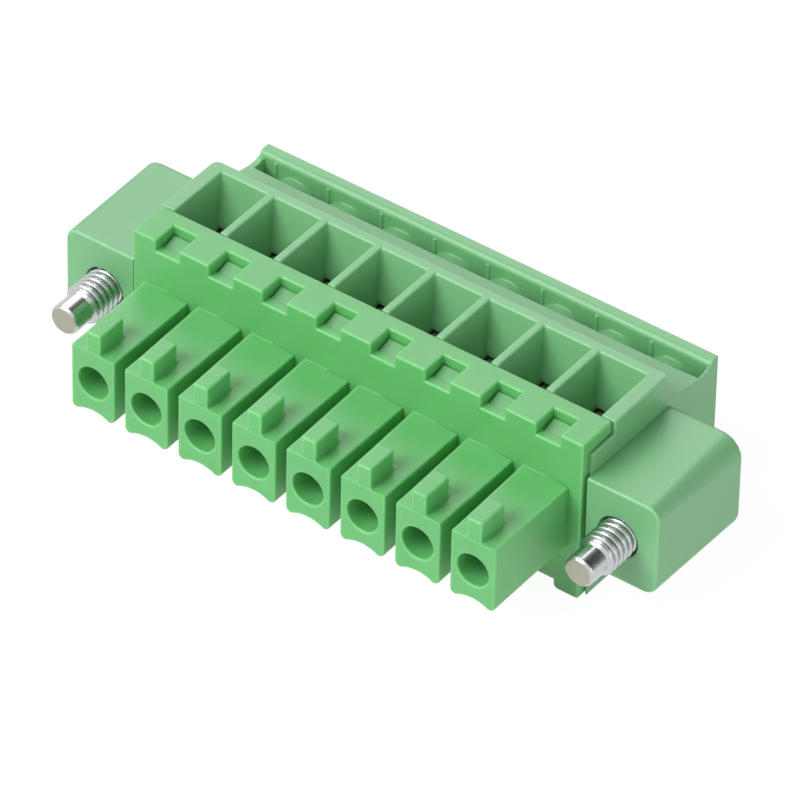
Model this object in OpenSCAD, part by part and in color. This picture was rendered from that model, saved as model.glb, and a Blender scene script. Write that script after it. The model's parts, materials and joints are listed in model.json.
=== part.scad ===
// Eight-pole pluggable terminal block with screw flanges.
// The contact comb faces -Y, the wires drop in from +Z and the clamp screws are turned from +Y.
// The origin is the middle of the outer box, on the plane that the block stands on. Millimetres.

/* [Body] */
// Distance from one pole to the next
pitch = 3.81; // [3.75:0.01:5.08]
// Overall height
body_h = 11.28; // [10.9:0.01:13]
// Depth from the front of the comb wall to the rear face
body_l = 13.12; // [12.7:0.01:16]
// Thickness of the end walls beside the outer funnels
end_wall_t = 0.97; // [0.8:0.01:2]

/* [Contact fingers] */
// Height of the pin axes, and of the flange screws
pin_axis_z = 5.66; // [5.4:0.01:6]
// Width of a finger
finger_w = 3.06; // [2.8:0.01:3.4]
// Height of a finger
finger_h = 4.56; // [4.3:0.01:5]
// Length of a finger in front of the comb wall
finger_l = 6.94; // [6:0.01:9]
// How far a finger's middle lies below the pin axis
finger_drop = 0.07; // [0:0.01:0.2]
// Radius of a finger's lower edges
finger_edge_r = 0.35; // [0.1:0.01:0.5]
// Width of the hollow along a finger's underside
finger_groove_w = 2.2; // [1.5:0.01:2.3]
// Depth of the hollow along a finger's underside
finger_groove_d = 0.3; // [0.1:0.01:0.5]
// Diameter of the pin entry
pin_entry_d = 2.15; // [1.6:0.01:2.4]
// Length of the round pin entry before the contact chamber
pin_entry_l = 1.8; // [1:0.01:2.5]
// Width of the coding rib on a finger
rib_w = 1; // [0.6:0.01:1.4]
// Length of the coding rib
rib_l = 2.25; // [1.5:0.01:3]
// Height of the coding rib
rib_h = 1.4; // [0.8:0.01:2]
// Distance of the coding rib behind the finger's front face
rib_set = 0.05; // [0:0.01:1]

/* [Comb wall] */
// Thickness of the comb wall
comb_wall_t = 0.6; // [0.5:0.01:0.9]
// Step from the housing's end face to the comb's
comb_step = 0.2; // [0.05:0.01:0.5]
// Height of the wall's lower edge between the feet
comb_lift = 0.75; // [0.4:0.01:1.2]
// Thickness of the top plate
comb_plate_t = 0.9; // [0.7:0.01:1.2]
// Length of the top plate, wall included
comb_plate_l = 2.8; // [2.5:0.01:3.2]
// Width of a foot
foot_w = 1.7; // [1:0.01:3]
// Length of a foot, wall included
foot_l = 3; // [2:0.01:4]
// Width of a latch window
window_w = 1.65; // [1.2:0.01:2.2]
// Length of a latch window behind the wall
window_l = 1.16; // [0.9:0.01:1.3]
// Depth of the notch in the wall's top edge at a window
window_notch = 0.8; // [0.4:0.01:0.85]

/* [Wire funnels] */
// Thickness of the dividers between funnels
divider_t = 0.51; // [0.4:0.01:0.8]
// Length of a funnel at the top
funnel_l = 4.56; // [4.4:0.01:5]
// How far a funnel's front wall leans in
funnel_lean = 0.56; // [0.3:0.01:0.8]
// Length of the wire hole at the foot of a funnel
wire_hole_l = 3.1; // [2.6:0.01:3.3]
// Width of the wire hole
wire_hole_w = 2.3; // [1.8:0.01:2.6]
// Thickness of the wall behind the funnels
back_wall_t = 0.7; // [0.5:0.01:1]

/* [Screw bank] */
// Height of the clamp screws' axes
clamp_axis_z = 6.5; // [6.4:0.01:6.7]
// Height of the shelf where it leaves the funnel block
shelf_h = 9.24; // [9:0.01:9.6]
// Height of the shelf where it ends at the slot
shelf_end_h = 8.84; // [8.6:0.01:8.95]
// Height of the rear wall
rear_wall_h = 9.33; // [9:0.01:9.6]
// Thickness of the rear wall
rear_wall_t = 0.88; // [0.8:0.01:1.2]
// Length of the slot in front of the rear wall
slot_l = 1.02; // [0.6:0.01:1.3]
// Thickness of the slot's right end wall
slot_end_t = 0.15; // [0.12:0.01:0.6]
// Thickness of the slot's left end wall
slot_left_t = 0.4; // [0.2:0.01:0.6]
// How far the left end wall of the slot falls towards the rear
slot_left_drop = 0.88; // [0:0.01:1.2]
// Wall of a screw tube where it crosses the slot
tube_wall_t = 0.3; // [0.25:0.01:0.32]
// Diameter of a driver hole
driver_d = 2.5; // [2.1:0.01:2.9]

/* [Clamps] */
// Diameter of a clamp screw's thread
clamp_screw_d = 2; // [1.8:0.01:2.1]
// Diameter of a clamp screw's head
clamp_head_d = 3; // [2.8:0.01:3.05]
// Length of a clamp screw's head
clamp_head_l = 1.5; // [1.2:0.01:1.8]
// Width of a clamp cage
cage_w = 3; // [2.9:0.01:3.05]
// Height of a clamp cage
cage_h = 2.9; // [2.7:0.01:2.9]
// Thickness of a cage's sides
cage_side_t = 0.4; // [0.3:0.01:0.5]
// Thickness of a cage's front wall
cage_front_t = 0.5; // [0.4:0.01:0.6]
// Thickness of a cage's threaded rear wall
cage_nut_t = 1.2; // [1:0.01:1.4]
// Travel of a cage from open to closed
cage_travel = 2; // [1.6:0.01:2.1]
// Thickness of the current bar in the cage
bar_t = 0.8; // [0.6:0.01:0.9]

/* [Contacts] */
// Thickness of the contact strip
strip_t = 0.4; // [0.3:0.01:0.5]
// Width of the contact strip
strip_w = 1.8; // [1.6:0.01:1.9]
// Height of the spring leaves
leaf_h = 1.7; // [1.4:0.01:1.8]
// Thickness of the spring leaves
leaf_t = 0.3; // [0.2:0.01:0.35]
// Gap between the leaves where they grip the pin
leaf_gap = 0.6; // [0.4:0.01:0.8]

/* [Flanges] */
// Width of a flange
flange_w = 5.03; // [4.6:0.01:7]
// How much narrower a flange is at its front
flange_taper = 0.15; // [0:0.01:0.3]
// Length of a flange
flange_l = 8.23; // [8:0.01:10]
// Height of a flange
flange_h = 6.24; // [5.6:0.01:6.5]
// How far a flange's middle lies above its screw
flange_lift = 0.09; // [0:0.01:0.2]
// Step from the comb wall's front face to the flange's
flange_set = 0.26; // [0:0.01:1]
// Distance of the flange screw from the housing's end face
flange_axis_in = 2.15; // [2.1:0.01:3]

/* [Flange screws] */
// Diameter of the flange screws' thread
flange_thread_d = 2.5; // [2.3:0.01:2.6]
// Reach of a flange screw in front of its flange
flange_screw_reach = 3.8; // [3:0.01:5]
// Diameter of the plain point
dog_d = 1.95; // [1.5:0.01:2]
// Length of the plain point
dog_l = 1.5; // [0.8:0.01:1.8]
// Diameter of the neck behind the thread
neck_d = 2; // [1.8:0.01:2.1]
// Diameter of a flange screw's head
flange_head_d = 3.6; // [3.2:0.01:3.7]
// Length of a flange screw's head
flange_head_l = 1.8; // [1.2:0.01:2.2]

/* [Hidden] */
$fn = 48;
poles = 8;

// Overrun of every cut past the face that it opens
over = 0.4;
// Gap where two mouldings meet
joint_gap = 0.05;
// Gap beside a piece that slides
slide_gap = 0.05;
// Gap round a piece that turns, on the radius
turn_gap = 0.05;
// Looser gap round the contacts and the captive neck
loose_gap = 0.075;

// Main planes along Y, from the front of the fingers to the rear face
y_front = -(finger_l + body_l) / 2;
y_comb = y_front + finger_l;
y_rear = y_comb + body_l;
y_body = y_comb + comb_wall_t + joint_gap;
y_funnel = y_comb + comb_plate_l;
y_wire = y_funnel + funnel_lean;
y_back = y_funnel + funnel_l + back_wall_t;
y_wall = y_rear - rear_wall_t;
y_slot = y_wall - slot_l;

// Main sizes along X
pole_x = [for (i = [1:poles]) (i - (poles + 1) / 2) * pitch];
funnel_w = pitch - divider_t;
body_w = poles * pitch - divider_t + 2 * end_wall_t;
comb_w = body_w - 2 * comb_step;

// Heights
plate_under_z = body_h - comb_plate_t;
block_z = plate_under_z - joint_gap;
finger_z0 = pin_axis_z - finger_drop - finger_h / 2;
finger_z1 = finger_z0 + finger_h;

// Clamp: the cage slides back on the current bar as its screw turns
cage_z0 = clamp_axis_z - cage_h / 2;
cage_z1 = clamp_axis_z + cage_h / 2;
cage_y0 = y_wire - cage_front_t;
wire_gap = 2.6;
bar_y0 = y_wire + wire_gap;
bar_y1 = bar_y0 + bar_t;
nut_gap = 0.1;
nut_y0 = bar_y1 + nut_gap;
cage_y1 = nut_y0 + cage_nut_t;
cavity_y1 = cage_y1 + cage_travel + nut_gap;
cavity_w = cage_w + 2 * slide_gap;
cavity_z1 = cage_z1 + slide_gap;
tip_gap = 0.05;
screw_tip_y = bar_y1 + tip_gap;
driver_wall_t = rear_wall_t - 0.12 * rear_wall_t;
head_y1 = y_rear - driver_wall_t - turn_gap;
head_y0 = head_y1 - clamp_head_l;
head_bore_d = clamp_head_d + 2 * turn_gap;
tube_d = head_bore_d + 2 * tube_wall_t;
driver_slot_w = 0.5;
driver_slot_d = 0.6;

// Contact: a strip on the cavity floor carries the bar at the back and the leaves at the front
strip_gap = 0.2;
strip_z1 = cage_z0 - strip_gap;
strip_z0 = strip_z1 - strip_t;
bar_w = cage_w - 2 * cage_side_t - 4 * slide_gap;
bar_top_gap = 0.1;
chamber_y0 = y_front + pin_entry_l;
leaf_y0 = chamber_y0 + leaf_h / 5;
leaf_pinch_y = leaf_y0 + leaf_h / 2;
leaf_root_y = y_body + comb_wall_t;
leaf_web_l = 2 * comb_wall_t;
leaf_z0 = strip_z1;
chamber_w = strip_w + 2 * loose_gap;
chamber_z0 = strip_z0 - slide_gap;
chamber_z1 = leaf_z0 + leaf_h + loose_gap;

// Latch wedge of the housing that stands in a comb window
wedge_w = window_w - 4 * joint_gap;
wedge_rise = 0.34;
wedge_nose = 0.05;
wedge_y0 = y_body + joint_gap;
wedge_y1 = y_comb + comb_wall_t + window_l - joint_gap;

// Rear wall: round top edge, and locating ribs on its inner face
rear_edge_r = 0.4;
locating_rib_w = 0.2;
locating_rib_t = 0.1;
locating_rib_x = -1.3;
slot_floor_z = clamp_axis_z + 0.4;

// Radii of the housing's left end, which is rounder than its right end
block_corner_r = 0.5;
shelf_corner_r = 0.55;
wall_corner_r = 0.65;

// Flanges and the tongues that hold them in the housing's ends
flange_x0 = body_w / 2;
flange_x1 = flange_x0 + flange_w;
flange_y0 = y_comb + flange_set;
flange_y1 = flange_y0 + flange_l;
flange_z0 = pin_axis_z + flange_lift - flange_h / 2;
flange_axis_x = flange_x0 + flange_axis_in;
flange_top_r = 0.8;
left_flange_rear_r = 0.8;
right_flange_rear_r = 1.35;
flange_low_r = 0.85;
flange_rear_r = 0.45;
tongue_t = 0.5;
tongue_neck = 1.6;
tongue_tip = 2.2;
tongue_inset = 0.6;

// Flange screws: the thread is too large for the neck's hole, so they can't fall out
flange_tip_y = flange_y0 - flange_screw_reach;
thread_y0 = flange_tip_y + dog_l;
thread_y1 = flange_y0 - 2 * turn_gap;
runout_y1 = flange_y0 + 0.85 * dog_d / 2;
runout_d = dog_d;
mouth_d = flange_thread_d + 3 * turn_gap;
mouth_y1 = runout_y1 + 2 * turn_gap;
neck_hole_d = neck_d + 2 * loose_gap;
flange_seat_y = flange_y1 - 3.4;
flange_head_y0 = flange_seat_y + turn_gap;
flange_head_y1 = flange_head_y0 + flange_head_l;
counterbore_d = flange_head_d + 4 * turn_gap;
point_bevel = 0.15;
thread_bevel = 0.25;
flange_slot_w = 0.6;
flange_slot_d = 0.8;

// Block between two opposite corners
module block(low, high) {
    translate(low) cube(high - low);
}

// Profile drawn in X and Z, carried along Y
module along_y(y0, y1) {
    translate([0, y1, 0]) rotate([90, 0, 0]) linear_extrude(y1 - y0) children();
}

// Profile drawn in Y and Z, carried across X
module across_x(x0, x1) {
    translate([x0, 0, 0]) rotate([90, 0, 90]) linear_extrude(x1 - x0) children();
}

// Round bar along Y, with its end diameters when it tapers
module rod(x, z, y0, y1, d, d_end = 0) {
    translate([x, y0, z]) rotate([-90, 0, 0]) cylinder(d1 = d, d2 = d_end > 0 ? d_end : d, h = y1 - y0);
}

// Corner piece that rounds a square corner at the origin when it is cut away
module corner_cut(r) {
    difference() {
        translate([-over, -over]) square(r + over);
        translate([r, r]) circle(r);
    }
}

// The falling shelf in side view, as points of Y and Z: it bulges a little in its middle
shelf_line = [
    [y_back, shelf_h],
    [(y_back + y_slot) / 2, (shelf_h + shelf_end_h) / 2 + (shelf_h - shelf_end_h) / 6],
    [y_slot, shelf_end_h]];

// Side outline of the housing without its slot: block, falling shelf and rear wall
module housing_profile() {
    difference() {
        polygon([
            [y_body, 0], [y_rear, 0], [y_rear, rear_wall_h], [y_wall, rear_wall_h],
            [y_wall - rear_edge_r, shelf_end_h], shelf_line[2], shelf_line[1], shelf_line[0],
            [y_back, body_h],
            [y_funnel + joint_gap, body_h], [y_funnel + joint_gap, block_z], [y_body, block_z]]);
        translate([y_wall, rear_wall_h]) rotate(-90) corner_cut(rear_edge_r);
    }
}

// The funnels taper on all four sides, then run straight into the clamp cavities
module funnel_cuts() {
    throat_z = cavity_z1 + over;
    mouth_z = body_h + over;
    spread = over * (funnel_w - wire_hole_w) / (2 * (body_h - throat_z));
    lean_front = over * funnel_lean / (body_h - throat_z);
    lean_back = over * (funnel_l - funnel_lean - wire_hole_l) / (body_h - throat_z);
    intersection() {
        across_x(-body_w / 2, body_w / 2) polygon([
            [y_wire, cavity_z1 - over], [y_wire, throat_z], [y_funnel - lean_front, mouth_z],
            [y_funnel + funnel_l + lean_back, mouth_z], [y_wire + wire_hole_l, throat_z],
            [y_wire + wire_hole_l, cavity_z1 - over]]);
        for (x = pole_x) translate([x, 0, 0]) along_y(y_body, y_back) polygon([
            [-wire_hole_w / 2, cavity_z1 - over], [-wire_hole_w / 2, throat_z],
            [-funnel_w / 2 - spread, mouth_z], [funnel_w / 2 + spread, mouth_z],
            [wire_hole_w / 2, throat_z], [wire_hole_w / 2, cavity_z1 - over]]);
    }
}

// The housing's left end: the slot's end wall falls to the rear, and the corners are round
module left_end_cuts() {
    left_x = -body_w / 2;
    low_z = shelf_end_h - slot_left_drop;
    across_x(left_x - over, left_x + slot_left_t + over / 4) polygon([
        [y_slot, body_h], [y_slot, shelf_end_h], [y_wall - rear_edge_r, low_z],
        [y_wall, low_z], [y_wall, body_h]]);
    translate([left_x, y_wall, low_z]) linear_extrude(body_h) corner_cut(wall_corner_r);
    translate([left_x, 0, rear_wall_h]) along_y(y_wall - over, y_rear + over)
        rotate(-90) corner_cut(wall_corner_r);
    for (i = [0, 1]) {
        step = shelf_line[i + 1] - shelf_line[i];
        translate([left_x, shelf_line[i].x, shelf_line[i].y]) rotate([atan2(step.y, step.x), 0, 0])
            along_y(0, norm(step)) rotate(-90) corner_cut(shelf_corner_r);
    }
    translate([left_x, y_back, shelf_h]) linear_extrude(body_h) rotate(-90) corner_cut(block_corner_r);
}

// Wedge that snaps into a window of the comb's top plate
module latch_wedge() {
    across_x(-wedge_w / 2, wedge_w / 2) polygon([
        [wedge_y0, block_z - over], [wedge_y0, block_z + wedge_nose],
        [wedge_y1, block_z + wedge_rise], [wedge_y1, block_z - over]]);
}

// Tongue profile of a flange, or its groove when gap is given
module tongue_profile(gap = 0) {
    polygon([
        [over, -tongue_neck / 2 - gap], [-gap, -tongue_neck / 2 - gap],
        [-tongue_t - gap, -tongue_tip / 2 - gap], [-tongue_t - gap, tongue_tip / 2 + gap],
        [-gap, tongue_neck / 2 + gap], [over, tongue_neck / 2 + gap]]);
}

module rear_housing() {
    color([0.57, 0.76, 0.6]) {
        difference() {
            union() {
                difference() {
                    across_x(-body_w / 2, body_w / 2) housing_profile();
                    block([-body_w / 2 + slot_left_t, y_slot, slot_floor_z],
                          [body_w / 2 - slot_end_t, y_wall, body_h]);
                }
                for (x = pole_x) {
                    rib_x = x + locating_rib_x;
                    rod(x, clamp_axis_z, y_slot - over, y_wall + over, tube_d);
                    translate([x, 0, 0]) latch_wedge();
                    block([rib_x - locating_rib_w, y_wall - locating_rib_t, slot_floor_z - over],
                          [rib_x, y_wall + over / 2, rear_wall_h - rear_edge_r]);
                }
            }
            funnel_cuts();
            left_end_cuts();
            for (x = pole_x) {
                block([x - cavity_w / 2, y_body - over, chamber_z0],
                      [x + cavity_w / 2, cavity_y1, cavity_z1]);
                rod(x, clamp_axis_z, cavity_y1 - over, y_rear - driver_wall_t, head_bore_d);
                rod(x, clamp_axis_z, cavity_y1, y_rear + over, driver_d);
            }
            for (side = [-1, 1]) {
                foot_x = side * (comb_w / 2 - foot_w / 2);
                half = foot_w / 2 + 2 * joint_gap;
                block([foot_x - half, y_body - over, -over],
                      [foot_x + half, y_comb + foot_l + joint_gap, comb_lift + joint_gap]);
                translate([side * body_w / 2, 0, pin_axis_z]) mirror([side < 0 ? 1 : 0, 0, 0])
                    along_y(y_body - over, flange_y1 - tongue_inset + joint_gap) tongue_profile(joint_gap);
            }
        }
    }
}

// Finger cross-section: round lower edges and a shallow hollow between them
module finger_profile() {
    groove_r = (pow(finger_groove_w / 2, 2) + pow(finger_groove_d, 2)) / (2 * finger_groove_d);
    difference() {
        translate([-finger_w / 2, 0]) square([finger_w, finger_h]);
        translate([-finger_w / 2, 0]) corner_cut(finger_edge_r);
        translate([finger_w / 2, 0]) rotate(90) corner_cut(finger_edge_r);
        translate([0, finger_groove_d - groove_r]) circle(groove_r, $fn = 96);
    }
}

module finger() {
    translate([0, 0, finger_z0]) along_y(y_front, y_comb + comb_wall_t / 2) finger_profile();
    block([-rib_w / 2, y_front + rib_set, finger_z1 - over],
          [rib_w / 2, y_front + rib_set + rib_l, finger_z1 + rib_h]);
}

module foot() {
    along_y(y_comb, y_comb + foot_l) difference() {
        translate([-foot_w / 2, 0]) square([foot_w, comb_lift]);
        translate([-foot_w / 2, 0]) corner_cut(finger_edge_r);
    }
}

module contact_comb() {
    color([0.44, 0.76, 0.46]) difference() {
        union() {
            block([-comb_w / 2, y_comb, comb_lift], [comb_w / 2, y_comb + comb_wall_t, body_h]);
            block([-comb_w / 2, y_comb, plate_under_z], [comb_w / 2, y_funnel, body_h]);
            for (x = pole_x) translate([x, 0, 0]) finger();
            for (side = [-1, 1]) mirror([side < 0 ? 1 : 0, 0, 0]) {
                translate([comb_w / 2 - foot_w / 2, 0, 0]) foot();
                block([comb_w / 2 - foot_w, y_comb, comb_lift - over / 2],
                      [comb_w / 2, y_comb + comb_wall_t, comb_lift + over / 2]);
            }
        }
        for (x = pole_x) {
            rod(x, pin_axis_z, y_front - over, chamber_y0 + over / 8, pin_entry_d);
            block([x - chamber_w / 2, chamber_y0, chamber_z0],
                  [x + chamber_w / 2, y_comb + comb_wall_t + over, chamber_z1]);
            block([x - window_w / 2, y_comb + comb_wall_t, plate_under_z - over],
                  [x + window_w / 2, y_comb + comb_wall_t + window_l, body_h + over]);
            block([x - window_w / 2, y_comb - over, body_h - window_notch],
                  [x + window_w / 2, y_comb + comb_wall_t + over, body_h + over]);
        }
    }
}

// Points of an arc in X and Z round a centre, from one angle to another
function arc_points(cx, cz, r, from, to, steps) =
    [for (k = [0:steps]) let (a = from + (to - from) * k / steps) [cx + r * cos(a), cz + r * sin(a)]];

// Flange cross-section at one place along its length, drawn outward from the housing's end face
function flange_section(top_r, inset, taper) =
    let (right = flange_w - inset - taper, low = flange_z0 + inset, top = flange_z0 + flange_h - inset)
    concat(
        [[0, low]],
        arc_points(right - flange_low_r, low + flange_low_r, flange_low_r, -90, 0, 6),
        arc_points(right - top_r, top - top_r, top_r, 0, 90, 12),
        [[0, top]]);

// Rings along Y: the flange widens and its top rounding grows towards the rear, where the edges are round
function flange_rings(rear_r) = concat(
    [[flange_y0, flange_top_r, 0, flange_taper]],
    [for (a = [0:22.5:90]) [flange_y1 - flange_rear_r * (1 - sin(a)), rear_r,
                            flange_rear_r * (1 - cos(a)), 0]]);

module flange_shell(rear_r) {
    rings = [for (ring = flange_rings(rear_r))
        [for (p = flange_section(ring[1], ring[2], ring[3])) [p[0], ring[0], p[1]]]];
    n = len(rings[0]);
    polyhedron(
        points = [for (ring = rings) each ring],
        faces = concat(
            [[for (k = [n - 1:-1:0]) k]],
            [for (j = [0:len(rings) - 2], k = [0:n - 1])
                [j * n + k, j * n + (k + 1) % n, (j + 1) * n + k]],
            [for (j = [0:len(rings) - 2], k = [0:n - 1])
                [(j + 1) * n + k, j * n + (k + 1) % n, (j + 1) * n + (k + 1) % n]],
            [[for (k = [0:n - 1]) (len(rings) - 1) * n + k]]));
}

// Flange on the right-hand end: block, tongue, bore for the neck and counterbore for the head
module flange(rear_r) {
    color([0.53, 0.72, 0.53]) translate([flange_x0, 0, 0]) difference() {
        union() {
            flange_shell(rear_r);
            translate([0, 0, pin_axis_z])
                along_y(y_body + joint_gap, flange_y1 - tongue_inset) tongue_profile();
        }
        rod(flange_axis_in, pin_axis_z, flange_y0 - over, mouth_y1, mouth_d);
        rod(flange_axis_in, pin_axis_z, flange_y0, flange_y1, neck_hole_d);
        rod(flange_axis_in, pin_axis_z, flange_seat_y, flange_y1 + over, counterbore_d);
    }
}

module right_flange() {
    flange(right_flange_rear_r);
}

module left_flange() {
    mirror([1, 0, 0]) flange(left_flange_rear_r);
}

module right_flange_screw() {
    core_d = flange_thread_d - 2 * thread_bevel;
    color([0.78, 0.8, 0.82]) difference() {
        union() {
            rod(flange_axis_x, pin_axis_z, flange_tip_y, flange_tip_y + point_bevel,
                dog_d - 2 * point_bevel, dog_d);
            rod(flange_axis_x, pin_axis_z, flange_tip_y + point_bevel, thread_y0, dog_d);
            rod(flange_axis_x, pin_axis_z, thread_y0, thread_y0 + thread_bevel, core_d, flange_thread_d);
            rod(flange_axis_x, pin_axis_z, thread_y0 + thread_bevel, thread_y1, flange_thread_d);
            rod(flange_axis_x, pin_axis_z, thread_y1 - over, runout_y1, runout_d);
            rod(flange_axis_x, pin_axis_z, runout_y1 - over, flange_head_y0 + over, neck_d);
            rod(flange_axis_x, pin_axis_z, flange_head_y0, flange_head_y1 - point_bevel, flange_head_d);
            rod(flange_axis_x, pin_axis_z, flange_head_y1 - point_bevel, flange_head_y1,
                flange_head_d, flange_head_d - 2 * point_bevel);
        }
        translate([flange_axis_x, 0, pin_axis_z])
            block([-flange_head_d, flange_head_y1 - flange_slot_d, -flange_slot_w / 2],
                  [flange_head_d, flange_head_y1 + over, flange_slot_w / 2]);
    }
}

module left_flange_screw() {
    mirror([1, 0, 0]) right_flange_screw();
}

module clamp_screw(i) {
    x = pole_x[i - 1];
    color([0.76, 0.78, 0.8]) difference() {
        union() {
            rod(x, clamp_axis_z, screw_tip_y, screw_tip_y + point_bevel,
                clamp_screw_d - 2 * point_bevel, clamp_screw_d);
            rod(x, clamp_axis_z, screw_tip_y + point_bevel, head_y0 + over, clamp_screw_d);
            rod(x, clamp_axis_z, head_y0, head_y1 - point_bevel, clamp_head_d);
            rod(x, clamp_axis_z, head_y1 - point_bevel, head_y1,
                clamp_head_d, clamp_head_d - 2 * point_bevel);
        }
        block([x - clamp_head_d, head_y1 - driver_slot_d, clamp_axis_z - driver_slot_w / 2],
              [x + clamp_head_d, head_y1 + over, clamp_axis_z + driver_slot_w / 2]);
    }
}

module clamp_cage(i) {
    x = pole_x[i - 1];
    inner_w = cage_w - 2 * cage_side_t;
    color([0.72, 0.74, 0.76]) difference() {
        block([x - cage_w / 2, cage_y0, cage_z0], [x + cage_w / 2, cage_y1, cage_z1]);
        block([x - inner_w / 2, y_wire, cage_z0 - over], [x + inner_w / 2, nut_y0, cage_z1 + over]);
        rod(x, clamp_axis_z, bar_y1, cage_y1 + over, clamp_screw_d + 2 * turn_gap);
    }
}

// Plan of the right-hand spring leaf: it closes on the pin and flares at its tip
module leaf_plan() {
    side = strip_w / 2;
    grip = leaf_gap / 2;
    polygon([
        [side, leaf_root_y + leaf_web_l], [side, leaf_root_y], [grip + leaf_t, leaf_pinch_y],
        [side, leaf_y0], [side - leaf_t, leaf_y0], [grip, leaf_pinch_y],
        [side - leaf_t, leaf_root_y], [side - leaf_t, leaf_root_y + leaf_web_l]]);
}

module contact(i) {
    x = pole_x[i - 1];
    color([0.8, 0.74, 0.55]) translate([x, 0, 0]) {
        block([-strip_w / 2, leaf_root_y, strip_z0], [strip_w / 2, bar_y1, strip_z1]);
        block([-bar_w / 2, bar_y0, strip_z0], [bar_w / 2, bar_y1, cage_z1 - bar_top_gap]);
        for (side = [0, 1]) mirror([side, 0, 0])
            translate([0, 0, strip_z0]) linear_extrude(strip_t + leaf_h) leaf_plan();
    }
}

rear_housing();
contact_comb();
left_flange();
right_flange();
left_flange_screw();
right_flange_screw();
for (i = [1:poles]) {
    clamp_screw(i);
    clamp_cage(i);
    contact(i);
}
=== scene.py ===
"""Pluggable terminal block with screw flanges, dressed for its photograph.

It goes together in the order of the sections: camera, rear housing, contact comb, flanges, flange
screws, clamps with their screws, contacts, and last the bench it stands on and the light.
"""
import json
import math

import bmesh
import bpy
from mathutils import Matrix, Vector

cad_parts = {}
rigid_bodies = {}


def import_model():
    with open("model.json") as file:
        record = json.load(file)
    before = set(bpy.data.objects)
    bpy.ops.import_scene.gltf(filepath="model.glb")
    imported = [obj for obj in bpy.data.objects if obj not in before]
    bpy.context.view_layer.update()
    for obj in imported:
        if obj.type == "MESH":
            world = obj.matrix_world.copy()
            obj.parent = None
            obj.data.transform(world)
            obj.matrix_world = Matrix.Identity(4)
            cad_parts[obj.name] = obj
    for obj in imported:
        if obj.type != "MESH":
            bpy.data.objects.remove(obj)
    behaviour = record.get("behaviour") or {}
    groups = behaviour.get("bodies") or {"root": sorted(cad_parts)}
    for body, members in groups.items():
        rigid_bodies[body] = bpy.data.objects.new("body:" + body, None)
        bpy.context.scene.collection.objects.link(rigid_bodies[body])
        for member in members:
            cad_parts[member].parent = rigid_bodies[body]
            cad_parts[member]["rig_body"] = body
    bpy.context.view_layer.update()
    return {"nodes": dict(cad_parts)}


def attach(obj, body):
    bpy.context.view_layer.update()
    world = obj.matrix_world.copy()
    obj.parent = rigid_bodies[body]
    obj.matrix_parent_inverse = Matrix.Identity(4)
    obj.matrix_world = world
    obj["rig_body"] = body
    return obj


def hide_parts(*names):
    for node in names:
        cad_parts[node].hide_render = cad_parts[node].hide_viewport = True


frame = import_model()
MM = 0.001

# Camera
# A long lens from the right, above the contact side. Its place was solved from the straight edges of
# the mouldings, so every corner falls where the photograph has it.
view_azimuth = math.radians(35.411)
view_elevation = math.radians(39.899)
view_roll = math.radians(1.3139)
view_target = Vector((2.454, -2.03, 7.17)) * MM
view_distance = 489.35 * MM
focal_pixels = 8653.65
frame_pixels = 800

back = Vector((math.sin(view_azimuth) * math.cos(view_elevation),
               -math.cos(view_azimuth) * math.cos(view_elevation),
               math.sin(view_elevation)))
level = Vector((math.cos(view_azimuth), math.sin(view_azimuth), 0))
upright = back.cross(level)
camera_x = math.cos(view_roll) * level + math.sin(view_roll) * upright
camera_y = math.cos(view_roll) * upright - math.sin(view_roll) * level
camera_data = bpy.data.cameras.new("camera")
camera_data.sensor_width = 36
camera_data.lens = camera_data.sensor_width * focal_pixels / frame_pixels
camera_data.clip_start = 10 * MM
camera_data.clip_end = 10
camera = bpy.data.objects.new("camera", camera_data)
camera.matrix_world = Matrix.Translation(view_target + back * view_distance) @ Matrix(
    (camera_x, camera_y, back)).transposed().to_4x4()
bpy.context.scene.collection.objects.link(camera)
bpy.context.scene.camera = camera

# Rear housing
# Pale green glass-filled polyamide, injection moulded in one shot with the funnels and screw tubes.
# Its edges keep the small radius of the mould and catch a thin line of light, made paler still by a
# painted highlight on their roundings.


def corner_normal(face, vertex, facet_angle):
    """Shading direction at a face's corner, running on over facets that nearly line up."""
    total = Vector()
    for other in vertex.link_faces:
        if other.normal.dot(face.normal) > math.cos(facet_angle):
            total += other.normal * other.calc_area()
    return total.normalized() if total.length > 0 else face.normal.copy()


def room_beside(edge, face, width):
    """How far an edge can move into a face before it meets another edge, measured squarely."""
    runs_on = -0.85
    no_length = 1e-9
    on_the_edge = 1e-7
    loop = next(corner for corner in edge.link_loops if corner.face == face)
    start = loop.vert.co
    run = loop.link_loop_next.vert.co - start
    length = run.length
    along = run / length
    inward = face.normal.cross(along)
    near = min(length / 2, width)
    low, high = near, length - near
    room = 1.0
    for other in face.edges:
        if other is edge:
            continue
        shared = [v for v in other.verts if v in edge.verts]
        if shared:
            arm = other.other_vert(shared[0]).co - shared[0].co
            stem = (edge.other_vert(shared[0]).co - shared[0].co).normalized()
            if arm.normalized().dot(stem) > runs_on:
                room = min(room, arm.length * arm.normalized().cross(stem).length)
            continue
        first, last = (v.co - start for v in other.verts)
        u0, v0, u1, v1 = first.dot(along), first.dot(inward), last.dot(along), last.dot(inward)
        if u0 > u1:
            u0, v0, u1, v1 = u1, v1, u0, v0
        if u1 < low or u0 > high:
            continue
        if u1 - u0 > no_length:
            slope = (v1 - v0) / (u1 - u0)
            ends = [v0 + slope * (max(low, u0) - u0), v0 + slope * (min(high, u1) - u0)]
        else:
            ends = [v0, v1]
        room = min([room] + [v for v in ends if v > on_the_edge])
    return room


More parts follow.
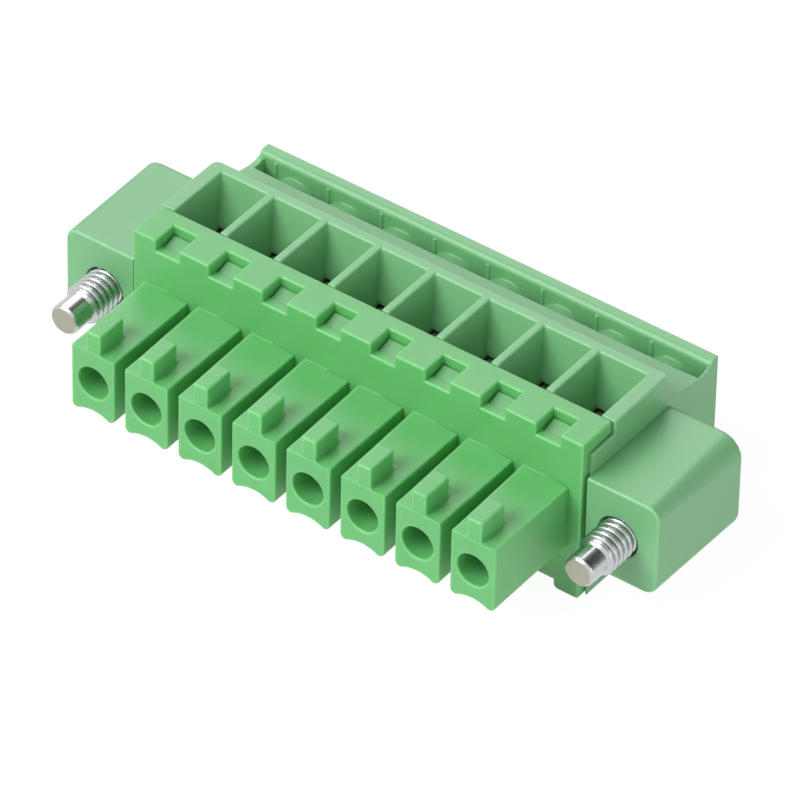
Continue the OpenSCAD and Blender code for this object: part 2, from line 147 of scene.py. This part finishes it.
def even_out(bm, weight):
    """Gives edges that run straight on through a vertex the same rounding."""
    straight_on = -0.9
    same = 1e-4
    changed = True
    while changed:
        changed = False
        for vertex in bm.verts:
            pair = [edge for edge in vertex.link_edges if edge[weight] > 0]
            if len(pair) != 2 or len(vertex.link_edges) == 2:
                continue
            if abs(pair[0][weight] - pair[1][weight]) < same:
                continue
            arms = [(edge.other_vert(vertex).co - vertex.co).normalized() for edge in pair]
            if arms[0].dot(arms[1]) < straight_on:
                pair[0][weight] = pair[1][weight] = min(pair[0][weight], pair[1][weight])
                changed = True


def joined_up(mesh, reshape, middles):
    """The loose triangles of a CAD mesh as whole flat faces. A seam across each of the middles parts
    the faces that have a hole there."""
    same_place = 0.002 * MM
    near_the_cut = 0.001 * MM
    flat = math.radians(0.6)
    bm = bmesh.new()
    bm.from_mesh(mesh)
    bmesh.ops.remove_doubles(bm, verts=bm.verts, dist=same_place)
    if reshape:
        reshape(bm)
        bmesh.ops.remove_doubles(bm, verts=bm.verts, dist=same_place)
    for x in middles:
        cut = bmesh.ops.bisect_plane(bm, geom=bm.verts[:] + bm.edges[:] + bm.faces[:],
                                     dist=near_the_cut, plane_co=(x, 0, 0), plane_no=(1, 0, 0))
        for edge in (item for item in cut["geom_cut"] if isinstance(item, bmesh.types.BMEdge)):
            edge.seam = True
    bmesh.ops.dissolve_limit(bm, angle_limit=flat, verts=bm.verts, edges=bm.edges, delimit={"SEAM"})
    bm.normal_update()
    return bm


flat_slot, rounding_slot = 0, 1


def shading_before(bm):
    """Numbers the faces, and keeps the places and shading directions of their corners."""
    facet_angle = math.radians(25)
    source = bm.faces.layers.int.new("source")
    corners = []
    for face in bm.faces:
        face[source] = len(corners)
        face.material_index = flat_slot
        corners.append([(v.co.copy(), corner_normal(face, v, facet_angle)) for v in face.verts])
    return corners


def weigh_edges(bm, width, hidden):
    """Gives each sharp edge the full rounding, or as much as there is room for beside it. An edge in
    one of the hidden boxes, each with its low and high corner in millimetres, gets none."""
    sharp_angle = math.radians(28)
    share_of_room = 0.42
    least_room = 0.02 * MM
    weight = bm.edges.layers.float.new("bevel_weight_edge")
    for edge in bm.edges:
        middle = (edge.verts[0].co + edge.verts[1].co) / 2
        if len(edge.link_faces) != 2 or edge.calc_face_angle(0) < sharp_angle:
            continue
        if any(all(low[k] * MM < middle[k] < high[k] * MM for k in range(3)) for low, high in hidden):
            continue
        room = min(room_beside(edge, face, width) for face in edge.link_faces)
        if room > least_room:
            edge[weight] = min(1.0, share_of_room * room / width)
    even_out(bm, weight)


def rounded_mesh(piece, bm, width):
    """One try at the rounding, as a new bmesh whose faces have four corners at most."""
    same_place = 0.001 * MM
    bm.to_mesh(piece.data)
    rounding = piece.modifiers.new("rounding", "BEVEL")
    rounding.limit_method = "WEIGHT"
    rounding.width = width
    rounding.segments = 2
    rounding.use_clamp_overlap = False
    rounding.material = rounding_slot
    bpy.context.view_layer.update()
    finished = piece.evaluated_get(bpy.context.evaluated_depsgraph_get())
    result = bpy.data.meshes.new_from_object(finished)
    piece.modifiers.remove(rounding)
    rounded = bmesh.new()
    rounded.from_mesh(result)
    bpy.data.meshes.remove(result)
    bmesh.ops.remove_doubles(rounded, verts=rounded.verts, dist=same_place)
    bmesh.ops.triangulate(rounded, faces=[f for f in rounded.faces if len(f.verts) > 4])
    rounded.normal_update()
    return rounded


def rounded_without_folds(piece, bm, width):
    """Rounds the weighted edges. Where a face would fold over, the edges round it get less, and try
    after try less still."""
    largest_fold = 0.003 * MM * MM
    weight = bm.edges.layers.float["bevel_weight_edge"]
    bm.faces.ensure_lookup_table()
    for keep in (0.6, 0.5, 0.3, 0, 0, 0):
        rounded = rounded_mesh(piece, bm, width)
        source = rounded.faces.layers.int["source"]
        folds = {}
        for face in rounded.faces:
            original = face[source]
            if face.material_index == flat_slot and face.normal.dot(bm.faces[original].normal) < 0:
                folds[original] = folds.get(original, 0) + face.calc_area()
        folded = [original for original, area in folds.items() if area > largest_fold]
        if not folded:
            break
        for original in folded:
            for edge in bm.faces[original].edges:
                edge[weight] *= keep
        even_out(bm, weight)
    bm.free()
    return rounded


def shading_after(bm, corners):
    """Shading directions for the rounded mesh. Flat faces keep flat shading right up to a rounding, and
    the rounding runs into the flat face that it faces most."""
    fillet_angle = math.radians(60)
    source = bm.faces.layers.int["source"]

    def flat_normal(face, point):
        return min(corners[face[source]], key=lambda corner: (corner[0] - point).length_squared)[1]

    normals = []
    for face in bm.faces:
        for loop in face.loops:
            vertex = loop.vert
            if face.material_index == flat_slot:
                normals.append(flat_normal(face, vertex.co))
                continue
            beside = [flat_normal(other, vertex.co) for other in vertex.link_faces
                      if other.material_index == flat_slot]
            nearest = max(beside, key=lambda n: n.dot(face.normal), default=None)
            if nearest is None or nearest.dot(face.normal) < math.cos(fillet_angle):
                nearest = corner_normal(face, vertex, fillet_angle)
            normals.append(nearest)
    return normals


def stands_out(face):
    """True on an outer edge, false in an inner corner."""
    middle = face.calc_center_median()
    rise = sum((other.calc_center_median() - middle).dot(face.normal)
               for edge in face.edges for other in edge.link_faces)
    return rise < 0


def finished_piece(name, width_mm, hidden=(), reshape=None, middles=()):
    """Copy of a CAD node with whole faces and rounded edges. Its face attribute named rounding is 1 on
    the roundings of outer edges, where the material paints a highlight."""
    width = width_mm * MM
    mesh = frame["nodes"][name].data.copy()
    bm = joined_up(mesh, reshape, middles)
    corners = shading_before(bm)
    weigh_edges(bm, width, hidden)
    mesh.materials.clear()
    for _ in (flat_slot, rounding_slot):
        mesh.materials.append(None)
    piece = bpy.data.objects.new(name + "_finished", mesh)
    bpy.context.scene.collection.objects.link(piece)
    bm = rounded_without_folds(piece, bm, width)
    normals = shading_after(bm, corners)
    # Faces that get the painted highlight.
    painted_highlight_faces = [float(face.material_index == rounding_slot and stands_out(face))
                   for face in bm.faces]
    for face in bm.faces:
        face.material_index = flat_slot
        face.smooth = True
    bm.faces.layers.int.remove(bm.faces.layers.int["source"])
    bm.to_mesh(mesh)
    bm.free()
    mesh.materials.clear()
    mesh.attributes.new("rounding", "FLOAT", "FACE").data.foreach_set("value", painted_highlight_faces)
    mesh.normals_split_custom_set(normals)
    return piece


def take_place(piece, node, material):
    """The finished piece stands for its CAD node, on the same body."""
    piece.data.materials.append(material)
    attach(piece, frame["nodes"][node]["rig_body"])
    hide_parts(node)
    return piece


def socket(group, name, kind, way, value=None):
    """Named input or output of a node group, with its value where none is given."""
    made = group.interface.new_socket(name=name, in_out=way, socket_type=kind)
    if value is not None:
        made.default_value = value


def linked(tree, operation, *values):
    """Maths node with sockets or plain numbers for its inputs."""
    node = tree.nodes.new("ShaderNodeMath")
    node.operation = operation
    for place, value in zip(node.inputs, values):
        if isinstance(value, bpy.types.NodeSocket):
            tree.links.new(value, place)
        else:
            place.default_value = value
    return node.outputs[0]


def moulded_skin_group():
    """Satin skin of moulded polyamide: fine spark grain, faint flow marks, a slight colour drift, and a
    painted highlight, which mixes the roundings of outer edges towards a paler colour in place of the
    light they catch."""
    painted_highlight_share = 0.22
    gloss_swing = 0.12
    group = bpy.data.node_groups.new("moulded skin", "ShaderNodeTree")
    socket(group, "Colour", "NodeSocketColor", "INPUT", (0.3, 0.5, 0.3, 1))
    socket(group, "Painted Highlight Colour", "NodeSocketColor", "INPUT", (0.5, 0.8, 0.5, 1))
    socket(group, "Highlight Mask", "NodeSocketFloat", "INPUT", 0.0)
    socket(group, "Drift", "NodeSocketFloat", "INPUT", 0.05)
    socket(group, "Roughness", "NodeSocketFloat", "INPUT", 0.45)
    socket(group, "Grain Size", "NodeSocketFloat", "INPUT", 12000.0)
    socket(group, "Colour", "NodeSocketColor", "OUTPUT")
    socket(group, "Roughness", "NodeSocketFloat", "OUTPUT")
    socket(group, "Height", "NodeSocketFloat", "OUTPUT")
    nodes, links = group.nodes, group.links
    into, out = nodes.new("NodeGroupInput"), nodes.new("NodeGroupOutput")
    place = nodes.new("ShaderNodeTexCoord")
    drift = nodes.new("ShaderNodeTexNoise")
    drift.inputs["Scale"].default_value = 260
    drift.inputs["Detail"].default_value = 3
    grain = nodes.new("ShaderNodeTexNoise")
    grain.inputs["Detail"].default_value = 4
    links.new(into.outputs["Grain Size"], grain.inputs["Scale"])
    for noise in (drift, grain):
        links.new(place.outputs["Object"], noise.inputs["Vector"])
    swing = linked(group, "MULTIPLY_ADD", drift.outputs["Fac"], -2, 1)
    tint = nodes.new("ShaderNodeVectorMath")
    tint.operation = "SCALE"
    links.new(into.outputs["Colour"], tint.inputs[0])
    links.new(linked(group, "MULTIPLY_ADD", swing, into.outputs["Drift"], 1), tint.inputs["Scale"])
    # Painted highlight: the roundings of outer edges are mixed towards the paler colour, standing in
    # for the light they catch.
    highlight_mix = nodes.new("ShaderNodeMix")
    highlight_mix.data_type = "RGBA"
    links.new(linked(group, "MULTIPLY", into.outputs["Highlight Mask"], painted_highlight_share), highlight_mix.inputs["Factor"])
    links.new(tint.outputs["Vector"], highlight_mix.inputs["A"])
    links.new(into.outputs["Painted Highlight Colour"], highlight_mix.inputs["B"])
    links.new(highlight_mix.outputs["Result"], out.inputs["Colour"])
    uneven = linked(group, "MULTIPLY_ADD", grain.outputs["Fac"], gloss_swing, into.outputs["Roughness"])
    links.new(uneven, out.inputs["Roughness"])
    links.new(grain.outputs["Fac"], out.inputs["Height"])
    return group


moulded_skin = moulded_skin_group()


def polyamide(name, colour, painted_highlight_colour, drift, roughness, gloss, seen_into):
    """Satin moulded plastic of one colour, which lets a share of the light a little way in. Its outer
    edges get a painted highlight in a paler colour.
    """
    light_depth = 0.9 * MM
    depth_of_colours = (0.25, 1, 0.3)
    material = bpy.data.materials.new(name)
    material.use_nodes = True
    nodes, links = material.node_tree.nodes, material.node_tree.links
    shader = nodes["Principled BSDF"]
    skin = nodes.new("ShaderNodeGroup")
    skin.node_tree = moulded_skin
    skin.inputs["Colour"].default_value = (*colour, 1)
    skin.inputs["Painted Highlight Colour"].default_value = (*painted_highlight_colour, 1)
    skin.inputs["Drift"].default_value = drift
    skin.inputs["Roughness"].default_value = roughness
    bump = nodes.new("ShaderNodeBump")
    bump.inputs["Strength"].default_value = 0.35
    bump.inputs["Distance"].default_value = 0.006 * MM
    # The rounding mask marks where the painted highlight goes.
    edge = nodes.new("ShaderNodeAttribute")
    edge.attribute_name = "rounding"
    links.new(edge.outputs["Fac"], skin.inputs["Highlight Mask"])
    links.new(skin.outputs["Colour"], shader.inputs["Base Color"])
    links.new(skin.outputs["Roughness"], shader.inputs["Roughness"])
    links.new(skin.outputs["Height"], bump.inputs["Height"])
    links.new(bump.outputs["Normal"], shader.inputs["Normal"])
    shader.inputs["IOR"].default_value = 1.5
    shader.inputs["Specular IOR Level"].default_value = gloss
    shader.inputs["Subsurface Weight"].default_value = seen_into
    shader.inputs["Subsurface Scale"].default_value = light_depth
    shader.inputs["Subsurface Radius"].default_value = depth_of_colours
    return material


# The second colour is the painted highlight on the roundings of outer edges.
housing_green = polyamide("housing green polyamide", (0.185, 0.49, 0.218), (0.42, 0.78, 0.46),
                          drift=0.05, roughness=0.42, gloss=0.9, seen_into=0.3)
edge_rounding = 0.12
poles = range(1, 9)
middle_of_row = 4.5
pole_pitch = 3.81
pole_middles = [(pole - middle_of_row) * pole_pitch * MM for pole in poles]
clamp_cavities = ((-15.5, -2.3, 3.9), (15.5, 9.4, 8.25))
front_seam = ((-16.2, -2.5, -0.1), (16.2, -2.34, 11.4))
housing = finished_piece("rear_housing", edge_rounding, hidden=[clamp_cavities, front_seam],
                            middles=pole_middles)
take_place(housing, "rear_housing", housing_green)

# Contact comb
# A brighter green moulding that snaps over the front of the housing, with a finger for each pole.
# The windows in its top plate catch the housing's wedges.
# The second colour is the painted highlight on the roundings of outer edges.
comb_green = polyamide("comb green polyamide", (0.14, 0.51, 0.163), (0.36, 0.8, 0.38),
                       drift=0.04, roughness=0.4, gloss=0.72, seen_into=0.6)
contact_chambers = ((-15.2, -8.6, 3.9), (15.2, -2.2, 6.9))
rear_seam = ((-16.2, -2.6, 0.3), (16.2, -2.4, 11.0))
comb = finished_piece("contact_comb", edge_rounding, hidden=[contact_chambers, rear_seam],
                         middles=pole_middles)
take_place(comb, "contact_comb", comb_green)

# Flanges
# Pale green end blocks, each held by a tongue in the housing's end and drilled for its screw.
flange_rounding = 0.14
flange_middle = 18.105 * MM
for side, outward in (("left", -1), ("right", 1)):
    low_x, high_x = sorted((outward * 15.2, outward * 16.0))
    housing_joint = ((low_x, -2.9, 2.0), (high_x, 5.5, 9.5))
    flange = finished_piece(side + "_flange", flange_rounding, hidden=[housing_joint],
                               middles=[outward * flange_middle])
    take_place(flange, side + "_flange", housing_green)

# Flange screws
# Machine screws of zinc-plated steel with a plain point. The thread is rolled, so its crests are round
# and stand out from a slimmer core, and the cut end of the point is dull.


def rolled_thread_tree():
    """Right-hand thread round an axis along Y: a sheet rolled up, with its ridge worked out from the
    pitch. The ridge swells over the run-out at either end, and the sheet's ends sink into the core."""
    valley_ends, crest_begins = 0.08, 0.85
    sink_quickness = 6
    tree = bpy.data.node_groups.new("rolled thread", "GeometryNodeTree")
    socket(tree, "Geometry", "NodeSocketGeometry", "INPUT")
    for name in ("Core Radius", "Root Radius", "Crest Radius", "Pitch", "Start", "End", "Run-out",
                 "Axis X", "Axis Z"):
        socket(tree, name, "NodeSocketFloat", "INPUT")
    socket(tree, "Facets", "NodeSocketInt", "INPUT", 64)
    socket(tree, "Rows", "NodeSocketInt", "INPUT", 60)
    socket(tree, "Metal", "NodeSocketMaterial", "INPUT")
    socket(tree, "Geometry", "NodeSocketGeometry", "OUTPUT")
    nodes, links = tree.nodes, tree.links
    into, out = nodes.new("NodeGroupInput"), nodes.new("NodeGroupOutput")
    value = {item.name: item for item in into.outputs}
    sheet = nodes.new("GeometryNodeMeshGrid")
    sheet.inputs["Size X"].default_value = 1
    sheet.inputs["Size Y"].default_value = 1
    links.new(value["Facets"], sheet.inputs["Vertices X"])
    links.new(value["Rows"], sheet.inputs["Vertices Y"])
    flat = nodes.new("ShaderNodeSeparateXYZ")
    links.new(nodes.new("GeometryNodeInputPosition").outputs["Position"], flat.inputs["Vector"])
    turn = linked(tree, "ADD", flat.outputs["X"], 0.5)
    angle = linked(tree, "MULTIPLY", turn, 2 * math.pi)
    share = linked(tree, "ADD", flat.outputs["Y"], 0.5)
    length = linked(tree, "SUBTRACT", value["End"], value["Start"])
    y = linked(tree, "MULTIPLY_ADD", share, length, value["Start"])
    turns_along = linked(tree, "DIVIDE", linked(tree, "SUBTRACT", y, value["Start"]), value["Pitch"])
    phase = linked(tree, "FRACT", linked(tree, "ADD", turns_along, turn))
    from_crest = linked(tree, "ABSOLUTE", linked(tree, "MULTIPLY_ADD", phase, 2, -1))
    ridge = linked(tree, "SUBTRACT", 1, from_crest)
    form = nodes.new("ShaderNodeMapRange")
    form.interpolation_type = "SMOOTHSTEP"
    form.inputs["From Min"].default_value = valley_ends
    form.inputs["From Max"].default_value = crest_begins
    links.new(ridge, form.inputs["Value"])
    from_start = linked(tree, "SUBTRACT", y, value["Start"])
    to_end = linked(tree, "MINIMUM", from_start, linked(tree, "SUBTRACT", value["End"], y))
    swell = linked(tree, "MINIMUM", 1, linked(tree, "DIVIDE", to_end, value["Run-out"]))
    sink = linked(tree, "MINIMUM", 1, linked(tree, "MULTIPLY", sink_quickness, swell))
    rise = linked(tree, "SUBTRACT", value["Root Radius"], value["Core Radius"])
    shell = linked(tree, "MULTIPLY_ADD", sink, rise, value["Core Radius"])
    depth = linked(tree, "SUBTRACT", value["Crest Radius"], value["Root Radius"])
    height = linked(tree, "MULTIPLY", linked(tree, "MULTIPLY", form.outputs["Result"], swell), depth)
    radius = linked(tree, "ADD", shell, height)
    x = linked(tree, "MULTIPLY_ADD", radius, linked(tree, "COSINE", angle), value["Axis X"])
    z = linked(tree, "MULTIPLY_ADD", radius, linked(tree, "SINE", angle), value["Axis Z"])
    place = nodes.new("ShaderNodeCombineXYZ")
    for side, distance in (("X", x), ("Y", y), ("Z", z)):
        links.new(distance, place.inputs[side])
    steps = [nodes.new(kind) for kind in ("GeometryNodeSetPosition", "GeometryNodeFlipFaces",
                                          "GeometryNodeMergeByDistance", "GeometryNodeSetShadeSmooth",
                                          "GeometryNodeRealizeInstances", "GeometryNodeSetMaterial")]
    links.new(place.outputs["Vector"], steps[0].inputs["Position"])
    steps[2].inputs["Distance"].default_value = 0.001 * MM
    links.new(value["Metal"], steps[-1].inputs["Material"])
    last = sheet.outputs["Mesh"]
    for step in steps:
        links.new(last, step.inputs[0])
        last = step.outputs[0]
    links.new(last, out.inputs["Geometry"])
    return tree


def plated_skin_group():
    """Plating over cold-worked steel: uneven gloss and faint dents, and a dull face where the bar was
    cut, which is all that lies below the cut plane."""
    gloss_swing = 0.16
    cut_dullness = 0.3
    group = bpy.data.node_groups.new("plated skin", "ShaderNodeTree")
    socket(group, "Colour", "NodeSocketColor", "INPUT", (0.7, 0.7, 0.7, 1))
    socket(group, "Cut Colour", "NodeSocketColor", "INPUT", (0.44, 0.43, 0.36, 1))
    socket(group, "Roughness", "NodeSocketFloat", "INPUT", 0.25)
    socket(group, "Cut Plane Y", "NodeSocketFloat", "INPUT", -1.0)
    socket(group, "Colour", "NodeSocketColor", "OUTPUT")
    socket(group, "Roughness", "NodeSocketFloat", "OUTPUT")
    socket(group, "Height", "NodeSocketFloat", "OUTPUT")
    nodes, links = group.nodes, group.links
    into, out = nodes.new("NodeGroupInput"), nodes.new("NodeGroupOutput")
    place = nodes.new("ShaderNodeTexCoord")
    dents = nodes.new("ShaderNodeTexNoise")
    dents.inputs["Scale"].default_value = 2600
    dents.inputs["Detail"].default_value = 3
    links.new(place.outputs["Object"], dents.inputs["Vector"])
    split = nodes.new("ShaderNodeSeparateXYZ")
    links.new(place.outputs["Object"], split.inputs["Vector"])
    is_cut = linked(group, "LESS_THAN", split.outputs["Y"], into.outputs["Cut Plane Y"])
    colour = nodes.new("ShaderNodeMix")
    colour.data_type = "RGBA"
    links.new(is_cut, colour.inputs["Factor"])
    links.new(into.outputs["Colour"], colour.inputs["A"])
    links.new(into.outputs["Cut Colour"], colour.inputs["B"])
    uneven = linked(group, "MULTIPLY_ADD", dents.outputs["Fac"], gloss_swing, into.outputs["Roughness"])
    links.new(colour.outputs["Result"], out.inputs["Colour"])
    links.new(linked(group, "MULTIPLY_ADD", is_cut, cut_dullness, uneven), out.inputs["Roughness"])
    links.new(dents.outputs["Fac"], out.inputs["Height"])
    return group


plated_skin = plated_skin_group()
rolled_thread = rolled_thread_tree()


def plated_metal(name, colour, roughness, cut_plane_y=-1.0):
    """Plated metal. A piece without a cut end leaves the cut plane a metre away."""
    material = bpy.data.materials.new(name)
    material.use_nodes = True
    nodes, links = material.node_tree.nodes, material.node_tree.links
    shader = nodes["Principled BSDF"]
    skin = nodes.new("ShaderNodeGroup")
    skin.node_tree = plated_skin
    skin.inputs["Colour"].default_value = (*colour, 1)
    skin.inputs["Roughness"].default_value = roughness
    skin.inputs["Cut Plane Y"].default_value = cut_plane_y
    bump = nodes.new("ShaderNodeBump")
    bump.inputs["Strength"].default_value = 0.3
    bump.inputs["Distance"].default_value = 0.02 * MM
    links.new(skin.outputs["Colour"], shader.inputs["Base Color"])
    links.new(skin.outputs["Roughness"], shader.inputs["Roughness"])
    links.new(skin.outputs["Height"], bump.inputs["Height"])
    links.new(bump.outputs["Normal"], shader.inputs["Normal"])
    shader.inputs["Metallic"].default_value = 1
    return material


def reach(name):
    """Low and high corner of a CAD node."""
    points = [v.co for v in frame["nodes"][name].data.vertices]
    return (Vector(min(p[k] for p in points) for k in range(3)),
            Vector(max(p[k] for p in points) for k in range(3)))


def slim_shank(axis_x, axis_z, start, end, over_radius, shank_radius):
    """Takes the plain cylinder that stands for a thread down to a shank inside the thread."""
    def reshape(bm):
        for vertex in bm.verts:
            arm = Vector((vertex.co.x - axis_x, 0, vertex.co.z - axis_z))
            if start < vertex.co.y < end and arm.length > over_radius:
                vertex.co += arm.normalized() * shank_radius - arm
    return reshape


def thread_piece(name, metal, axis_x, axis_z, start, end, crest_radius, pitch, run_out):
    """Mesh of a rolled thread, made by the thread tree."""
    root_depth = 0.6
    core_depth_below_root = 0.06
    points_round = 65
    rows_to_a_turn = 12
    root_radius = crest_radius - root_depth * pitch
    sizes = {"Core Radius": root_radius - core_depth_below_root * pitch, "Root Radius": root_radius,
             "Crest Radius": crest_radius, "Pitch": pitch, "Start": start, "End": end,
             "Run-out": run_out, "Axis X": axis_x, "Axis Z": axis_z, "Facets": points_round,
             "Rows": round((end - start) / pitch * rows_to_a_turn), "Metal": metal}
    blank = bpy.data.objects.new(name + "_blank", bpy.data.meshes.new(name + "_blank"))
    bpy.context.scene.collection.objects.link(blank)
    rolling = blank.modifiers.new("rolling", "NODES")
    rolling.node_group = rolled_thread
    for item in rolled_thread.interface.items_tree:
        if item.item_type == "SOCKET" and item.in_out == "INPUT" and item.name in sizes:
            rolling[item.identifier] = sizes[item.name]
    blank.update_tag()
    bpy.context.view_layer.update()
    rolled = blank.evaluated_get(bpy.context.evaluated_depsgraph_get())
    mesh = bpy.data.meshes.new_from_object(rolled)
    bpy.data.objects.remove(blank)
    mesh.name = name
    piece = bpy.data.objects.new(name, mesh)
    bpy.context.scene.collection.objects.link(piece)
    return piece


def threaded_screw(node, thread_name, metal, start, end, past_end, plain_radius, crest_radius, pitch,
                   run_out):
    """Screw with its rolled thread from start to end, in place of a CAD node whose thread is a plain
    cylinder, and whose other parts there have the plain radius at most."""
    shank_depth = 0.64
    before_start = 0.02 * MM
    screw_rounding = 0.06
    low, high = reach(node)
    axis_x, axis_z = (low.x + high.x) / 2, (low.z + high.z) / 2
    slimmer = slim_shank(axis_x, axis_z, start - before_start, end + past_end, plain_radius,
                         crest_radius - shank_depth * pitch)
    screw = finished_piece(node, screw_rounding, reshape=slimmer)
    take_place(screw, node, metal)
    thread = thread_piece(thread_name, metal, axis_x, axis_z, start, end, crest_radius, pitch, run_out)
    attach(thread, frame["nodes"][node]["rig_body"])


point_length = 1.5 * MM
flange_thread_length = 3.13 * MM
cut_end_depth = 0.02 * MM
tip_y = reach("right_flange_screw")[0].y
zinc = plated_metal("bright zinc plate", (0.54, 0.55, 0.56), 0.18, tip_y + cut_end_depth)
for side in ("left", "right"):
    node = side + "_flange_screw"
    start = reach(node)[0].y + point_length
    threaded_screw(node, side + "_flange_thread", zinc, start, start + flange_thread_length,
                   past_end=0.05 * MM, plain_radius=0.985 * MM, crest_radius=1.25 * MM,
                   pitch=0.45 * MM, run_out=0.3 * MM)

# Clamp screws
# M2 screws of the same steel, one in each screw tube, slotted for a driver through the rear wall.
clamp_head_length = 1.5 * MM
clamp_zinc = plated_metal("zinc plate on the clamp screws", (0.5, 0.51, 0.52), 0.22)
for pole in poles:
    node = f"clamp_screw_{pole}"
    low, high = reach(node)
    threaded_screw(node, f"clamp_thread_{pole}", clamp_zinc, low.y, high.y - clamp_head_length,
                   past_end=0.02 * MM, plain_radius=0.8 * MM, crest_radius=1.0 * MM,
                   pitch=0.4 * MM, run_out=0.2 * MM)

# Clamp cages
# Folded steel cages, nickel plated, that the screws draw back on to the wire.
nickel = plated_metal("dull nickel plate", (0.5, 0.5, 0.48), 0.28)
cage_rounding = 0.06
for pole in poles:
    node = f"clamp_cage_{pole}"
    cage = finished_piece(node, cage_rounding)
    take_place(cage, node, nickel)

# Contacts
# Stamped copper alloy with a tin plate: the current bar in the cage, a strip and two spring leaves.
tin = plated_metal("tinned contact alloy", (0.6, 0.57, 0.48), 0.25)
contact_rounding = 0.04
for pole in poles:
    node = f"contact_{pole}"
    contact = finished_piece(node, contact_rounding)
    take_place(contact, node, tin)

# Bench and light
# A plain white bench in a dim studio, with a broad soft lamp high on the left in front of the fingers,
# a weak low one on the right, and a sheen on the top faces from behind.
half_bench = 2.0
bench_corners = [(-half_bench, -half_bench, 0), (half_bench, -half_bench, 0),
                 (half_bench, half_bench, 0), (-half_bench, half_bench, 0)]
bench_mesh = bpy.data.meshes.new("bench")
bench_mesh.from_pydata(bench_corners, [], [(0, 1, 2, 3)])
bench = bpy.data.objects.new("bench", bench_mesh)
bpy.context.scene.collection.objects.link(bench)
bench_white = bpy.data.materials.new("white bench")
bench_white.use_nodes = True
bench_tree = bench_white.node_tree
shader = bench_tree.nodes["Principled BSDF"]
shader.inputs["Base Color"].default_value = (0.85, 0.85, 0.85, 1)
shader.inputs["Roughness"].default_value = 0.9
rays = bench_tree.nodes.new("ShaderNodeLightPath")
glow = bench_tree.nodes.new("ShaderNodeEmission")
glow.inputs["Strength"].default_value = 1.1
# The rest of what is seen of the bench is its own shading, which holds the shadow.
share_of_glow = 0.86
mixed = bench_tree.nodes.new("ShaderNodeMixShader")
seen = linked(bench_tree, "MAXIMUM", rays.outputs["Is Camera Ray"], rays.outputs["Is Glossy Ray"])
seen = linked(bench_tree, "MAXIMUM", seen, rays.outputs["Is Transmission Ray"])
bench_tree.links.new(linked(bench_tree, "MULTIPLY", seen, share_of_glow), mixed.inputs["Fac"])
bench_tree.links.new(shader.outputs["BSDF"], mixed.inputs[1])
bench_tree.links.new(glow.outputs["Emission"], mixed.inputs[2])
bench_tree.links.new(mixed.outputs["Shader"], bench_tree.nodes["Material Output"].inputs["Surface"])
bench_mesh.materials.append(bench_white)


def soft_lamp(name, azimuth, elevation, distance, size, watts, only_sheen=False):
    """Round soft lamp aimed at the block. Its azimuth is 0 straight before the fingers, and grows
    towards the right flange."""
    away = Vector((math.sin(azimuth) * math.cos(elevation), -math.cos(azimuth) * math.cos(elevation),
                   math.sin(elevation)))
    lamp = bpy.data.lights.new(name, "AREA")
    lamp.shape = "DISK"
    lamp.size = size
    lamp.energy = watts
    holder = bpy.data.objects.new(name, lamp)
    holder.location = away * distance
    holder.rotation_euler = away.to_track_quat("Z", "Y").to_euler()
    holder.visible_diffuse = not only_sheen
    bpy.context.scene.collection.objects.link(holder)


soft_lamp("sheen on the top faces", azimuth=view_azimuth + math.pi, elevation=math.radians(38),
          distance=0.8, size=0.5, watts=1.65, only_sheen=True)
soft_lamp("front fill", azimuth=view_azimuth - math.radians(62), elevation=math.radians(44),
          distance=0.9, size=0.6, watts=6.8)
soft_lamp("right side fill", azimuth=view_azimuth + math.radians(55), elevation=math.radians(12),
          distance=0.9, size=0.7, watts=1.8)

# The metal mirrors a white studio with one dark side, which lies behind the block, as high up as the
# camera. Only that mirrored studio is so bright: what lights the mouldings is at the studio's level.
studio_level = 0.34
darkest_mirrored = 0.05
darkening_begins, darkening_ends = 0.45, 0.98
darkest_way = (back.x, -back.y, back.z)
world = bpy.data.worlds.new("studio")
world.use_nodes = True
studio = world.node_tree
sky = studio.nodes["Background"]
sky.inputs["Color"].default_value = (1, 1, 1, 1)
direction = studio.nodes.new("ShaderNodeTexCoord")
toward_dark = studio.nodes.new("ShaderNodeVectorMath")
toward_dark.operation = "DOT_PRODUCT"
toward_dark.inputs[1].default_value = darkest_way
studio.links.new(direction.outputs["Generated"], toward_dark.inputs[0])
mirrored = studio.nodes.new("ShaderNodeMapRange")
mirrored.inputs["From Min"].default_value = darkening_begins
mirrored.inputs["From Max"].default_value = darkening_ends
mirrored.inputs["To Min"].default_value = 1
mirrored.inputs["To Max"].default_value = darkest_mirrored
studio.links.new(toward_dark.outputs["Value"], mirrored.inputs["Value"])
rays = studio.nodes.new("ShaderNodeLightPath")
mirrored_more = linked(studio, "SUBTRACT", mirrored.outputs["Result"], studio_level)
room = linked(studio, "MULTIPLY_ADD", rays.outputs["Is Glossy Ray"], mirrored_more, studio_level)
seen = linked(studio, "MAXIMUM", rays.outputs["Is Camera Ray"], rays.outputs["Is Transmission Ray"])
studio.links.new(linked(studio, "MAXIMUM", seen, room), sky.inputs["Strength"])
bpy.context.scene.world = world
bpy.context.scene.view_settings.view_transform = "Standard"
